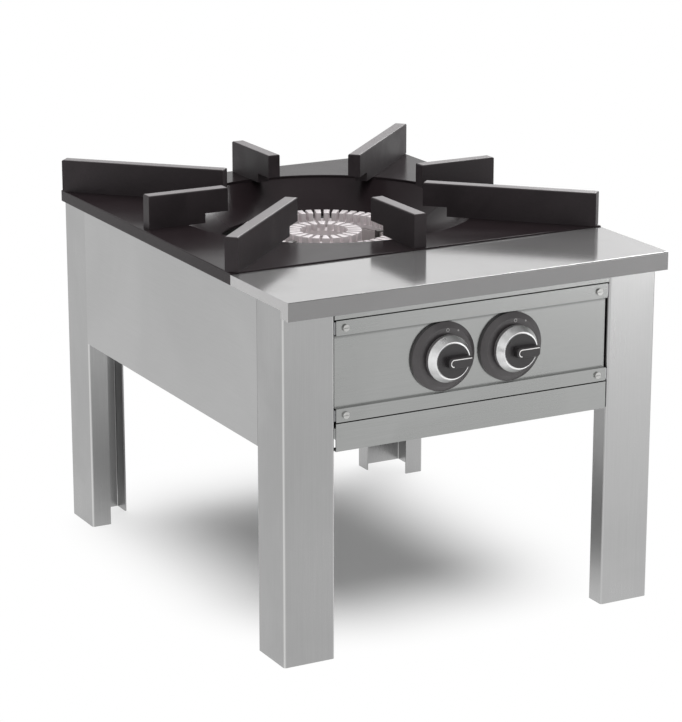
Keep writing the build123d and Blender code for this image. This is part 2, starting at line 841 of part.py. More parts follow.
for word, (x, riser_y) in risers.items():
    mouth = along_y(x, tube_mouth, tube_height)
    lug = along_y(x, lug_y, tube_height)
    with BuildPart() as mixing_tube:
        route = [(x, tube_mouth, tube_height), (x, riser_y, tube_height), (x, riser_y, burner_foot - boss_drop)]
        tube(route, tube_bend, tube_outer, tube_bore)
        bar(mouth, 0, mouth_flange_thick, mouth_flange)
        bar(mouth, 0, mouth_flange_thick, tube_bore, mode=Mode.SUBTRACT)
        arm_low = tube_height - mouth_flange
        half = injector_radius + lug_thick
        slab((x - half, x + half), (lug_y, tube_mouth + lug_ahead), (arm_low, arm_low + tube_arm))
        slab((x - half, x + half), (lug_y, lug_y + lug_thick), (arm_low, tube_height + half))
        bar(lug, 0, lug_thick, injector_radius, mode=Mode.SUBTRACT)
    save(mixing_tube, f"mixing_tube_{word}")

lugs = [along_y(x, lug_y, tube_height) for x, riser_y in risers.values()]
with BuildPart() as injectors:
    for lug in lugs:
        bar(lug, -nut_seat, lug_thick, injector_radius)
        hexagon(lug, lug_thick, head_end, injector_hex)
        bar(lug, head_end, injector_length, injector_nose)
        bar(lug, -nut_seat, injector_length, injector_bore, mode=Mode.SUBTRACT)
save(injectors, "injectors")

with BuildPart() as air_discs:
    disc_end = air_disc_place + air_disc_thick
    for lug in lugs:
        bar(lug, air_disc_place, disc_end, air_disc_radius)
        bar(lug, air_disc_place, disc_end, injector_nose, mode=Mode.SUBTRACT)
save(air_discs, "air_discs")

# ---------------------------------------------------------------- gas taps

body_start = bonnet_thick
body_end = bonnet_thick + tap_length
plug_start = body_start + plug_end_gap
plug_end = plug_start + plug_length
manifold_run = [
    (manifold_left, manifold_y, manifold_z),
    (inlet_x, manifold_y, manifold_z),
    (inlet_x, rear - nipple_inside, manifold_z),
]


def tap_ports(side):
    """Planes at the body's axis that look out along the pilot port and the sensor port."""
    places = {
        "pilot": (tap_back - pilot_port_from_back, knob_height + pilot_port_rise),
        "sensor": (tap_back - sensor_port_from_back, knob_height - sensor_port_drop),
    }
    return {
        word: Plane(origin=(knob_x[side], y, z), x_dir=(0, 1, 0), z_dir=(side, 0, 0))
        for word, (y, z) in places.items()
    }


for word, side in sides.items():
    x = knob_x[side]
    face = along_y(x, tap_front, knob_height)
    with BuildPart() as tap:
        bar(face, body_start, body_end, tap_radius)
        bar(face, body_end, body_end + tap_stub, tap_stub_radius)
        for port in tap_ports(side).values():
            bar(port, 0, port_reach, port_radius)
        slab(
            (x - clamp_width / 2, x + clamp_width / 2),
            (manifold_y - clamp_half + lug_thick, manifold_y + clamp_half - lug_thick),
            (knob_height, manifold_z),
        )
        run = Plane(origin=(x - clamp_width / 2, manifold_y, manifold_z), x_dir=(0, 1, 0), z_dir=(1, 0, 0))
        bar(run, 0, clamp_width, manifold_radius, mode=Mode.SUBTRACT)
        bar(Plane((x, manifold_y, knob_height)), 0, manifold_above_taps, stem_bore, mode=Mode.SUBTRACT)
        bar(
            face,
            body_start,
            plug_end + plug_end_gap,
            plug_front + running_fit,
            plug_back + running_fit,
            mode=Mode.SUBTRACT,
        )
        bar(face, plug_end, body_end + tap_stub, outer_gas_bore, mode=Mode.SUBTRACT)
    save(tap, f"tap_body_{word}")

    with BuildPart() as plug:
        bar(face, plug_start, plug_end, plug_front, plug_back)
        with BuildSketch(facing_front(x, tap_front + plug_start, knob_height)):
            Circle(spindle_radius + running_fit)
            with Locations((0, 2 * spindle_radius - spindle_flat + running_fit)):
                Rectangle(4 * spindle_radius, 2 * spindle_radius, mode=Mode.SUBTRACT)
        extrude(amount=-spindle_hole_depth, mode=Mode.SUBTRACT)
        side_port = Plane(origin=(x, manifold_y, knob_height), x_dir=(0, 1, 0), z_dir=(1, 0, 0))
        bar(side_port, 0, plug_front, port_bore, mode=Mode.SUBTRACT)
        bar(Plane((x, manifold_y, knob_height)), -plug_front, 0, low_port_bore, mode=Mode.SUBTRACT)
        bar(face, manifold_y - tap_front, plug_end, port_bore, mode=Mode.SUBTRACT)
    save(plug, f"tap_plug_{word}")

with BuildPart() as bonnets:
    for side in sides.values():
        face = along_y(knob_x[side], tap_front, knob_height)
        bar(face, 0, body_start, tap_radius)
        bar(face, 0, body_start, spindle_hole, mode=Mode.SUBTRACT)
save(bonnets, "tap_bonnets")

with BuildPart() as clamps:
    for side in sides.values():
        x = knob_x[side]
        x_span = (x - clamp_width / 2, x + clamp_width / 2)
        y_span = (manifold_y - clamp_half + lug_thick, manifold_y + clamp_half - lug_thick)
        run = Plane(origin=(x_span[0], manifold_y, manifold_z), x_dir=(0, 1, 0), z_dir=(1, 0, 0))
        bar(run, 0, clamp_width, manifold_radius + clamp_strap)
        slab(x_span, y_span, (manifold_z, manifold_z + clamp_strap))
        slab(x_span, y_span, (manifold_z - 2 * manifold_radius, manifold_z), mode=Mode.SUBTRACT)
        bar(run, 0, clamp_width, manifold_radius, mode=Mode.SUBTRACT)
save(clamps, "tap_clamps")

# ---------------------------------------------------------------- gas line

with BuildPart() as manifold:
    tube(manifold_run, elbow_radius, manifold_radius, manifold_radius - manifold_wall)
    cap = Plane(origin=manifold_run[0], x_dir=(0, 1, 0), z_dir=(1, 0, 0))
    bar(cap, 0, manifold_wall, manifold_radius)
    for side in sides.values():
        drop = Plane((knob_x[side], manifold_y, manifold_z))
        bar(drop, -2 * manifold_radius, 0, stem_bore, mode=Mode.SUBTRACT)
save(manifold, "gas_manifold")

with BuildPart() as hangers:
    for x in hanger_places:
        x_span = (x - hanger_thick / 2, x + hanger_thick / 2)
        y_span = (panel_face + 2 * sheet, manifold_y + hanger_reach)
        slab(x_span, y_span, (manifold_z - hanger_reach, panel_top - sheet))
        run = Plane(origin=(x_span[0], manifold_y, manifold_z), x_dir=(0, 1, 0), z_dir=(1, 0, 0))
        bar(run, 0, hanger_thick, manifold_radius, mode=Mode.SUBTRACT)
save(hangers, "manifold_hangers")

pipe_end = along_y(inlet_x, rear - nipple_inside, manifold_z)
with BuildPart() as nipple:
    shank_end = nipple_inside + sheet + locknut_thick
    hexagon(pipe_end, -collar_length, collar_wall, collar)
    bar(pipe_end, collar_wall, shank_end, bulkhead)
    bar(pipe_end, shank_end, shank_end + thread_relief, inlet_thread - relief_depth)
    bar(pipe_end, shank_end + thread_relief, nipple_inside + inlet_reach, inlet_thread)
    bar(pipe_end, -collar_length, 0, manifold_radius, mode=Mode.SUBTRACT)
    bar(pipe_end, 0, nipple_inside + inlet_reach, inlet_bore, mode=Mode.SUBTRACT)
save(nipple, "inlet_nipple")

with BuildPart() as locknuts:
    for start in (nipple_inside - locknut_thick, nipple_inside + sheet):
        hexagon(pipe_end, start, start + locknut_thick, locknut)
        bar(pipe_end, start, start + locknut_thick, bulkhead, mode=Mode.SUBTRACT)
save(locknuts, "inlet_lock_nuts")


def union_nut(joint):
    """Hexagon nut over a joint: the plane's normal points to the pipe."""
    hexagon(joint, -nut_seat, nut_lip, pipe_nut)
    bar(joint, -nut_seat, 0, tap_stub_radius, mode=Mode.SUBTRACT)
    bar(joint, 0, nut_lip, supply_radius, mode=Mode.SUBTRACT)


supply_end = lug_y - nut_seat
with BuildPart() as supply_pipes:
    for side in sides.values():
        tap_end = (knob_x[side], pipe_start, knob_height)
        level = (side * tube_offset, supply_end - supply_straight, tube_height)
        with BuildLine() as route:
            Spline(tap_end, level, tangents=((0, 1, 0), (0, 1, 0)))
            Line(level, (level[0], supply_end, tube_height))
        with BuildSketch(along_y(*tap_end)):
            Circle(supply_radius)
            Circle(supply_bore, mode=Mode.SUBTRACT)
        sweep(path=route.wire())
save(supply_pipes, "supply_pipes")

with BuildPart() as pipe_nuts:
    for side in sides.values():
        union_nut(along_y(knob_x[side], pipe_start, knob_height))
        union_nut(facing_front(side * tube_offset, supply_end, tube_height))
save(pipe_nuts, "pipe_nuts")

# ---------------------------------------------------------------- pilots and flame sensors

pilot_points = {word: around(angle, pilot_radius) for word, angle in pilot_angles.items()}
sensor_points = {word: around(angle, sensor_radius) for word, angle in sensor_angles.items()}

with BuildPart() as brackets:
    for word in sides:
        pilot_x, pilot_y = pilot_points[word]
        sensor_x, sensor_y = sensor_points[word]
        turn = degrees(atan2(sensor_y - pilot_y, sensor_x - pilot_x))
        centre = ((pilot_x + sensor_x) / 2, (pilot_y + sensor_y) / 2, arm_top + bracket_thick / 2)
        with Locations(Location(centre, (0, 0, turn))):
            Box(bracket_length, bracket_width, bracket_thick)
        hole_radii = {pilot_points[word]: pilot_pipe, sensor_points[word]: sensor_lead}
        for (x, y), radius in hole_radii.items():
            bar(Plane((x, y, arm_top)), 0, bracket_thick, radius + pilot_clearance, mode=Mode.SUBTRACT)
save(brackets, "pilot_brackets")

hood_low = bracket_top + pilot_stem_height
hood_top = hood_low + hood_height
hood_half = hood_size / 2
for word, side in sides.items():
    pilot_x, pilot_y = pilot_points[word]
    with BuildPart() as pilot:
        base = Plane((pilot_x, pilot_y, bracket_top))
        bar(base, 0, pilot_stem_height, pilot_stem)
        hexagon(base, 0, pilot_hex_height, pilot_hex)
        hexagon(base, pilot_stem_height - pilot_hex_height, pilot_stem_height, pilot_hex)
        inward = (pilot_x - side * hood_half, pilot_x - side * (hood_half - hood_sheet))
        slab(inward, (pilot_y - hood_half, pilot_y + hood_half), (hood_low, hood_top))
        over = (pilot_x - side * hood_half, pilot_x + side * hood_half)
        slab(over, (pilot_y - hood_half, pilot_y + hood_half), (hood_top - hood_sheet, hood_top))
        bar(base, 0, pilot_stem_height, pilot_bore, mode=Mode.SUBTRACT)
    save(pilot, f"pilot_burner_{word}")

with BuildPart() as sensors:
    for x, y in sensor_points.values():
        base = Plane((x, y, bracket_top))
        bar(base, 0, sensor_top - bracket_top, sensor_rod)
        hexagon(base, 0, pilot_hex_height, sensor_rod + bracket_thick)
    fillet(sensors.edges().group_by(Axis.Z)[-1], sensor_rod / 2)
save(sensors, "flame_sensors")

with BuildPart() as pilot_pipes:
    for word, side in sides.items():
        start = tap_ports(side)["pilot"].offset(port_reach).origin
        run_x = side * (lead_offset - lead_spread)
        run_z = lead_height - pilot_line_drop
        end_x, end_y = pilot_points[word]
        route = [
            (start.X, start.Y, start.Z),
            (run_x, start.Y, start.Z),
            (run_x, shield_y - lead_ahead, run_z),
            (run_x, end_y, run_z),
            (end_x, end_y, run_z),
            (end_x, end_y, bracket_top),
        ]
        tube(route, lead_bend, pilot_pipe)
save(pilot_pipes, "pilot_pipes")

with BuildPart() as sensor_leads:
    for word, side in sides.items():
        start = tap_ports(side)["sensor"].offset(port_reach).origin
        run_x = side * (lead_offset + lead_spread)
        end_x, end_y = sensor_points[word]
        route = [
            (start.X, start.Y, start.Z),
            (run_x, start.Y, start.Z),
            (run_x, shield_y - lead_ahead, lead_height),
            (run_x, end_y, lead_height),
            (end_x, end_y, lead_height),
            (end_x, end_y, bracket_top),
        ]
        tube(route, lead_bend, sensor_lead)
save(sensor_leads, "sensor_leads")

# ---------------------------------------------------------------- bezels and knobs

for word, side in sides.items():
    dial = facing_front(knob_x[side], panel_face, knob_height)
    with BuildPart() as bezel:
        bar(dial, 0, bezel_edge, bezel_radius)
        bar(dial, bezel_edge, bezel_front, bezel_radius, bezel_radius - bezel_slope)
        bar(dial, 0, bezel_front, bezel_bore, mode=Mode.SUBTRACT)
    save(bezel, f"bezel_{word}")

    with BuildPart() as knob_ring:
        bar(dial, knob_back, knob_back + ring_band, ring_radius)
        bar(dial, knob_back + ring_band, knob_front - ring_short, ring_radius, ring_front_radius)
        bar(dial, knob_back, knob_back + ring_band, ring_radius - ring_wall, mode=Mode.SUBTRACT)
        bar(
            dial,
            knob_back + ring_band,
            knob_front - ring_short,
            ring_radius - ring_wall,
            ring_front_radius - ring_wall,
            mode=Mode.SUBTRACT,
        )
    save(knob_ring, f"knob_ring_{word}")

    spindle_front = knob_front - 2 * ring_band
    with BuildPart() as knob:
        bar(dial, knob_back, knob_back + ring_band, ring_radius - ring_wall)
        bar(
            dial,
            knob_back + ring_band,
            knob_front - ring_short,
            ring_radius - ring_wall,
            ring_front_radius - ring_wall,
        )
        bar(dial, knob_front - ring_short, knob_front, ring_front_radius - ring_wall)
        with BuildSketch(dial.offset(knob_front)):
            with Locations(((grip_tip - grip_tail) / 2, 0)):
                RectangleRounded(grip_tip + grip_tail, grip_width, grip_width / 3)
        extrude(amount=grip_front - knob_front)
        fillet(knob.faces().sort_by(Axis.Y)[0].edges(), grip_round)
        bar(dial, knob_back, spindle_front, spindle_radius, mode=Mode.SUBTRACT)
    save(knob, f"knob_{word}")

    with BuildPart() as spindle:
        spindle_back = plug_start + spindle_depth + tap_front - panel_face
        with BuildSketch(dial.offset(-spindle_back)):
            Circle(spindle_radius)
            with Locations((0, 2 * spindle_radius - spindle_flat)):
                Rectangle(4 * spindle_radius, 2 * spindle_radius, mode=Mode.SUBTRACT)
        extrude(amount=spindle_back + knob_back)
        bar(dial, knob_back, spindle_front, spindle_radius)
    save(spindle, f"spindle_{word}")

# ---------------------------------------------------------------- runner screws

with BuildPart() as runner_screws:
    for side in sides.values():
        for y in runner_screw_places:
            screw(runner_screw_plane(side, y))
save(runner_screws, "runner_screws")
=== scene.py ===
import math
import bmesh
import bpy
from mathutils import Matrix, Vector


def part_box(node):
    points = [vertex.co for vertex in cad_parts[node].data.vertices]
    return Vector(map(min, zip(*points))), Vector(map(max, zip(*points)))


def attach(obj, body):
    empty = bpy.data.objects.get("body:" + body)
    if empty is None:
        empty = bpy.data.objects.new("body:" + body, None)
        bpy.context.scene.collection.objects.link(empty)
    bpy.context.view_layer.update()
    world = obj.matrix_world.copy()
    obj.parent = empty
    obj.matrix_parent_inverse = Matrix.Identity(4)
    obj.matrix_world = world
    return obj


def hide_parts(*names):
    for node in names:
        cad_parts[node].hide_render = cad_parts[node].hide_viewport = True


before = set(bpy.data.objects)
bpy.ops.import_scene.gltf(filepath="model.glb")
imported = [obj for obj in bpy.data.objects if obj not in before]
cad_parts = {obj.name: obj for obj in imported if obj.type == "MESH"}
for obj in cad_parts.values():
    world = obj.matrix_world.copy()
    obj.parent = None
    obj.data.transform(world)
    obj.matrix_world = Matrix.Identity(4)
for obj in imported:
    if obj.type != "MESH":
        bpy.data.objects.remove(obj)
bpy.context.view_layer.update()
print("frame loaded")


def middleOf(node):
    low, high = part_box(node)
    return Vector(((low.x + high.x) / 2, (low.y + high.y) / 2, (low.z + high.z) / 2))


burnerCentre = Vector((middleOf("top_plate").x, middleOf("outer_crown").y, 0))


# helpers for node trees: an input takes a plain value or another node's output

def feed(tree, socket, value):
    if isinstance(value, bpy.types.NodeSocket):
        tree.links.new(value, socket)
    else:
        socket.default_value = value


def addNode(tree, kind, place=(0, 0), inputs=None, **settings):
    node = tree.nodes.new(kind)
    node.location = place
    for key, value in settings.items():
        setattr(node, key, value)
    for label, value in (inputs or {}).items():
        feed(tree, node.inputs[label], value)
    return node


def addMath(tree, operation, first, second=None, place=(0, 0), clamp=False):
    inputs = {0: first} if second is None else {0: first, 1: second}
    node = addNode(tree, "ShaderNodeMath", place, inputs, operation=operation, use_clamp=clamp)
    return node.outputs[0]


def addVectorMath(tree, operation, first, second=None, place=(0, 0)):
    inputs = {0: first} if second is None else {0: first, 1: second}
    node = addNode(tree, "ShaderNodeVectorMath", place, inputs, operation=operation)
    return node.outputs["Value" if operation == "LENGTH" else "Vector"]


def startGroup(name, kind, inputs, outputs):
    tree = bpy.data.node_groups.new(name, kind)
    for label, socketType, value in inputs:
        socket = tree.interface.new_socket(name=label, in_out="INPUT", socket_type=socketType)
        if value is not None:
            socket.default_value = value
    for label, socketType in outputs:
        tree.interface.new_socket(name=label, in_out="OUTPUT", socket_type=socketType)
    source = addNode(tree, "NodeGroupInput", (-900, 0))
    sink = addNode(tree, "NodeGroupOutput", (700, 0))
    return tree, source, sink


# effects that several finishes share

def buildGrain():
    # fine lines along the axis that the stretch multiplies least
    tree, source, sink = startGroup(
        "brushedGrain", "ShaderNodeTree",
        [("Vector", "NodeSocketVector", None), ("Stretch", "NodeSocketVector", (40, 40, 900))],
        [("Mask", "NodeSocketFloat")])
    stretched = addVectorMath(tree, "MULTIPLY", source.outputs["Vector"], source.outputs["Stretch"],
                              (-650, 0))
    lines = addNode(tree, "ShaderNodeTexNoise", (-400, 100),
                    {"Vector": stretched, "Scale": 1.0, "Detail": 4.0, "Roughness": 0.7})
    spread = addNode(tree, "ShaderNodeMapRange", (-100, 100),
                     {"Value": lines.outputs["Fac"], "From Min": 0.32, "From Max": 0.68})
    feed(tree, sink.inputs["Mask"], spread.outputs["Result"])
    return tree


def buildPatches():
    # soft clouding, as rolled sheet and worn metal have
    tree, source, sink = startGroup(
        "cloudyPatches", "ShaderNodeTree",
        [("Vector", "NodeSocketVector", None), ("Scale", "NodeSocketFloat", 6.0)],
        [("Mask", "NodeSocketFloat")])
    wide = addNode(tree, "ShaderNodeTexNoise", (-500, 100),
                   {"Vector": source.outputs["Vector"], "Scale": source.outputs["Scale"],
                    "Detail": 5.0, "Roughness": 0.55, "Distortion": 0.6})
    spread = addNode(tree, "ShaderNodeMapRange", (-200, 100),
                     {"Value": wide.outputs["Fac"], "From Min": 0.35, "From Max": 0.65},
                     interpolation_type="SMOOTHSTEP")
    feed(tree, sink.inputs["Mask"], spread.outputs["Result"])
    return tree


def buildCastSkin():
    # rounded pits with finer grains among them
    tree, source, sink = startGroup(
        "castSkin", "ShaderNodeTree",
        [("Vector", "NodeSocketVector", None), ("Scale", "NodeSocketFloat", 400.0)],
        [("Mask", "NodeSocketFloat")])
    spot = {"Vector": source.outputs["Vector"], "Scale": source.outputs["Scale"]}
    coarse = addNode(tree, "ShaderNodeTexVoronoi", (-500, 150), {**spot, "Smoothness": 0.8},
                     feature="SMOOTH_F1")
    fine = addNode(tree, "ShaderNodeTexNoise", (-500, -150), {**spot, "Detail": 6.0, "Roughness": 0.7})
    both = addNode(tree, "ShaderNodeMix", (-150, 0),
                   {"Factor": 0.6, "A": coarse.outputs["Distance"], "B": fine.outputs["Fac"]},
                   data_type="FLOAT")
    feed(tree, sink.inputs["Mask"], both.outputs["Result"])
    return tree


faceRule = {"power": 4.0, "bendGain": 2.0, "topFrom": 0.7, "topGain": 4.0}


def buildFaceMasks():
    # Front: faces turned to the front or back
    # Bend: rounded folds of a piece that stands square, where no axis takes the whole normal
    # Top: faces turned up
    tree, source, sink = startGroup(
        "faceMasks", "ShaderNodeTree",
        [("Normal", "NodeSocketVector", None)],
        [("Front", "NodeSocketFloat"), ("Bend", "NodeSocketFloat"), ("Top", "NodeSocketFloat")])
    normal = addNode(tree, "ShaderNodeSeparateXYZ", (-700, 0), {0: source.outputs["Normal"]})
    powers = []
    for axis, y in zip(normal.outputs, (200, 0, -200)):
        size = addMath(tree, "ABSOLUTE", axis, place=(-500, y))
        powers.append(addMath(tree, "POWER", size, faceRule["power"], (-350, y)))
    level = addMath(tree, "ADD", powers[0], powers[1], (-200, 100))
    total = addMath(tree, "ADD", level, powers[2], (-50, 50))
    rounded = addMath(tree, "SUBTRACT", 1.0, total, (100, 50))
    bend = addMath(tree, "MULTIPLY", rounded, faceRule["bendGain"], (250, 50), clamp=True)
    raised = addMath(tree, "SUBTRACT", normal.outputs["Z"], faceRule["topFrom"], (-200, -350))
    top = addMath(tree, "MULTIPLY", raised, faceRule["topGain"], (0, -350), clamp=True)
    for label, mask in (("Front", powers[1]), ("Bend", bend), ("Top", top)):
        feed(tree, sink.inputs[label], mask)
    return tree


def buildShadeBand():
    # painted shade: 1 just under a ledge at the given height, fading downward over the reach
    tree, source, sink = startGroup(
        "shadeBand", "ShaderNodeTree",
        [("Vector", "NodeSocketVector", None), ("Height", "NodeSocketFloat", 0.4),
         ("Reach", "NodeSocketFloat", 0.004)],
        [("Mask", "NodeSocketFloat")])
    slack = 0.0001  # metres above the ledge that still count as under it
    spot = addNode(tree, "ShaderNodeSeparateXYZ", (-700, 0), {0: source.outputs["Vector"]})
    under = addMath(tree, "SUBTRACT", source.outputs["Height"], spot.outputs["Z"], (-500, 0))
    gone = addMath(tree, "DIVIDE", under, source.outputs["Reach"], (-300, 0))
    fall = addMath(tree, "SUBTRACT", 1.0, gone, (-100, 0), clamp=True)
    below = addMath(tree, "GREATER_THAN", under, -slack, (-300, -200))
    mask = addMath(tree, "MULTIPLY", fall, below, (200, 0), clamp=True)
    feed(tree, sink.inputs["Mask"], mask)
    return tree


effects = {
    "band": buildShadeBand(),
    "grain": buildGrain(),
    "patches": buildPatches(),
    "cast": buildCastSkin(),
    "faces": buildFaceMasks(),
}
print("shared effects ready")

# finishes: colour and second are mixed by the skin and the patches, and rough is the range of gloss
# grain: stretch of the brushing, for sheet; cast: scale of the skin, for castings and small parts
# bump and depth: strength of the skin's relief, and its depth in metres
# front: share of the colour left on faces turned to the front or back, as painted shade on those faces
# edge: which faces get painted light, how far and to what colour; bright on folds and rib tops as a painted
# highlight, dark on the deck's fold as painted shade
# shade: height and reach of a painted shade band under a ledge, in metres, and the share of the colour left
# there

skinShare = 0.45  # how much the skin counts beside the patches
finishes = {
    "legSteel": dict(
        colour=(0.395, 0.395, 0.395), second=(0.345, 0.345, 0.345), metallic=1.0, rough=(0.26, 0.36),
        grain=(900, 900, 14), patches=5.0, bump=0.04, depth=0.0002,
        # painted highlight along the rounded folds
        edge=("Bend", 0.6, (0.82, 0.82, 0.81))),
    # a lighter copy of legSteel for the front right leg: painted light, with a fainter painted highlight on
    # its folds
    "rightLegPaintedLight": dict(
        colour=(0.455, 0.455, 0.455), second=(0.40, 0.40, 0.40), metallic=1.0, rough=(0.26, 0.36),
        grain=(900, 900, 14), patches=5.0, bump=0.04, depth=0.0002,
        edge=("Bend", 0.3, (0.7, 0.7, 0.7))),
    "sideSteel": dict(
        colour=(0.43, 0.43, 0.43), second=(0.395, 0.395, 0.395), metallic=1.0, rough=(0.28, 0.36),
        grain=(900, 14, 900), patches=3.5, bump=0.03, depth=0.0002),
    "frontSteel": dict(
        colour=(0.37, 0.375, 0.37), second=(0.32, 0.325, 0.32), metallic=1.0, rough=(0.2, 0.3),
        grain=(14, 900, 900), patches=6.0, bump=0.03, depth=0.0002,
        # painted highlight along the rounded folds
        edge=("Bend", 0.8, (0.8, 0.8, 0.8))),
    "panelSteel": dict(
        colour=(0.36, 0.365, 0.36), second=(0.31, 0.315, 0.31), metallic=1.0, rough=(0.2, 0.3),
        grain=(14, 900, 900), patches=6.0, bump=0.03, depth=0.0002,
        # painted highlight along the folds, and painted shade under the recess's upper ledge
        edge=("Bend", 0.6, (0.75, 0.75, 0.75)), shade=(0.388, 0.005, 0.3)),
    "deckSteel": dict(
        colour=(0.50, 0.495, 0.495), second=(0.455, 0.45, 0.45), metallic=0.74, rough=(0.10, 0.17),
        grain=(10, 1100, 1100), patches=7.0, bump=0.02, depth=0.0001,
        # painted shade on the faces turned to the front and on the rounded fold
        front=0.54, edge=("Bend", 0.9, (0.13, 0.13, 0.13))),
    "plainSheet": dict(
        colour=(0.42, 0.42, 0.43), second=(0.30, 0.30, 0.31), metallic=1.0, rough=(0.35, 0.5),
        grain=(120, 120, 120), patches=22.0, bump=0.05, depth=0.0002),
    "blackEnamel": dict(
        colour=(0.017, 0.012, 0.0135), second=(0.024, 0.018, 0.020), metallic=0.0, rough=(0.17, 0.27),
        cast=260.0, patches=9.0, bump=0.05, depth=0.0004, ior=1.2),
    "castRib": dict(
        colour=(0.027, 0.022, 0.024), second=(0.042, 0.034, 0.037), metallic=0.0, rough=(0.4, 0.58),
        cast=420.0, patches=16.0, bump=0.3, depth=0.0005, ior=1.3,
        # painted sheen on the ribs' top faces
        edge=("Top", 0.8, (0.30, 0.285, 0.29))),
    "castBurner": dict(
        colour=(0.66, 0.62, 0.62), second=(0.46, 0.42, 0.42), metallic=0.2, rough=(0.45, 0.65),
        cast=500.0, patches=20.0, bump=0.3, depth=0.0005),
    "crownMetal": dict(
        colour=(0.83, 0.78, 0.79), second=(0.66, 0.61, 0.62), metallic=0.1, rough=(0.3, 0.46),
        cast=700.0, patches=35.0, bump=0.12, depth=0.0003),
    "knobBlack": dict(
        colour=(0.020, 0.018, 0.019), second=(0.032, 0.029, 0.031), metallic=0.0, rough=(0.34, 0.46),
        cast=1500.0, patches=40.0, bump=0.08, depth=0.0001),
    "dialBlack": dict(
        colour=(0.058, 0.053, 0.055), second=(0.078, 0.072, 0.074), metallic=0.0, rough=(0.3, 0.4),
        cast=1200.0, patches=30.0, bump=0.05, depth=0.0001),
    "ringMetal": dict(
        colour=(0.90, 0.90, 0.90), second=(0.80, 0.80, 0.80), metallic=1.0, rough=(0.26, 0.36),
        grain=(600, 30, 600), patches=30.0, bump=0.02, depth=0.0001),
    "brass": dict(
        colour=(0.62, 0.45, 0.20), second=(0.42, 0.29, 0.12), metallic=1.0, rough=(0.3, 0.48),
        cast=600.0, patches=40.0, bump=0.08, depth=0.0002),
    "pipeSteel": dict(
        colour=(0.40, 0.40, 0.39), second=(0.26, 0.25, 0.24), metallic=1.0, rough=(0.32, 0.5),
        cast=500.0, patches=25.0, bump=0.08, depth=0.0002),
    "zinc": dict(
        colour=(0.66, 0.66, 0.64), second=(0.52, 0.52, 0.50), metallic=1.0, rough=(0.25, 0.4),
        cast=900.0, patches=60.0, bump=0.05, depth=0.0001),
    "screwSteel": dict(
        colour=(0.56, 0.56, 0.55), second=(0.46, 0.46, 0.45), metallic=1.0, rough=(0.42, 0.55),
        cast=900.0, patches=60.0, bump=0.05, depth=0.0001),
    "darkSteel": dict(
        colour=(0.045, 0.042, 0.04), second=(0.09, 0.082, 0.075), metallic=0.5, rough=(0.4, 0.6),
        cast=800.0, patches=50.0, bump=0.15, depth=0.0002),
    "dialMark": dict(
        colour=(0.42, 0.41, 0.41), second=(0.32, 0.31, 0.31), metallic=0.0, rough=(0.4, 0.5),
        cast=1500.0, patches=90.0, bump=0.03, depth=0.0001),
    # a bright strip standing in for the highlight along the grip's edge: painted highlight
    "gripPaintedHighlight": dict(
        colour=(0.88, 0.87, 0.86), second=(0.76, 0.75, 0.74), metallic=0.6, rough=(0.25, 0.35),
        cast=1500.0, patches=90.0, bump=0.03, depth=0.0001),
}


def addEffect(tree, effect, place, inputs):
    return addNode(tree, "ShaderNodeGroup", place, inputs, node_tree=effects[effect])


def blendColour(tree, shown, share, colour, place, blend="MIX"):
    # what is shown so far, mixed with or multiplied by the colour as far as the share goes
    mix = addNode(tree, "ShaderNodeMix", place, {"Factor": share, "A": shown, "B": (*colour, 1)},
                  data_type="RGBA", blend_type=blend)
    return mix.outputs["Result"]


def makeFinish(name, values):
    material = bpy.data.materials.new(name)
    material.use_nodes = True
    tree = material.node_tree
    tree.nodes.clear()
    coords = addNode(tree, "ShaderNodeTexCoord", (-1200, 0))
    spot = coords.outputs["Object"]
    patches = addEffect(tree, "patches", (-950, 200), {"Vector": spot, "Scale": values["patches"]})
    if "grain" in values:
        skin = addEffect(tree, "grain", (-950, -100), {"Vector": spot, "Stretch": values["grain"]})
    else:
        skin = addEffect(tree, "cast", (-950, -100), {"Vector": spot, "Scale": values["cast"]})
    both = addNode(tree, "ShaderNodeMix", (-750, 100),
                   {"Factor": skinShare, "A": patches.outputs["Mask"], "B": skin.outputs["Mask"]},
                   data_type="FLOAT")
    smoothest, roughest = values["rough"]
    rough = addNode(tree, "ShaderNodeMapRange", (-350, -50),
                    {"Value": both.outputs["Result"], "To Min": smoothest, "To Max": roughest})
    bump = addNode(tree, "ShaderNodeBump", (-350, -300),
                   {"Height": skin.outputs["Mask"], "Strength": values["bump"],
                    "Distance": values["depth"]})
    shown = blendColour(tree, (*values["colour"], 1), both.outputs["Result"], values["second"], (-550, 200))
    if "front" in values or "edge" in values:
        faces = addEffect(tree, "faces", (-750, 500), {"Normal": coords.outputs["Normal"]})
    # painted shade: faces turned to the front or back keep only a share of the colour
    if "front" in values:
        kept = values["front"]
        shown = blendColour(tree, shown, faces.outputs["Front"], (kept, kept, kept), (-350, 350),
                            "MULTIPLY")
    # painted light on the faces the edge entry picks: a highlight on most finishes, painted shade on the
    # deck's fold
    if "edge" in values:
        which, amount, paintedEdgeTone = values["edge"]
        share = addMath(tree, "MULTIPLY", faces.outputs[which], amount, (-350, 550))
        shown = blendColour(tree, shown, share, paintedEdgeTone, (-100, 350))
    # painted shade in a band under a ledge
    if "shade" in values:
        height, reach, kept = values["shade"]
        band = addEffect(tree, "band", (-350, 750), {"Vector": spot, "Height": height, "Reach": reach})
        shown = blendColour(tree, shown, band.outputs["Mask"], (kept, kept, kept), (-50, 550), "MULTIPLY")
    shader = addNode(tree, "ShaderNodeBsdfPrincipled", (150, 100),
                     {"Base Color": shown, "Roughness": rough.outputs["Result"],
                      "Normal": bump.outputs["Normal"], "Metallic": values["metallic"],
                      "IOR": values.get("ior", 1.5)})
    addNode(tree, "ShaderNodeOutputMaterial", (450, 100), {"Surface": shader.outputs["BSDF"]})
    return material


materials = {name: makeFinish(name, values) for name, values in finishes.items()}
print("finishes ready:", len(materials))

# which finish each CAD node wears

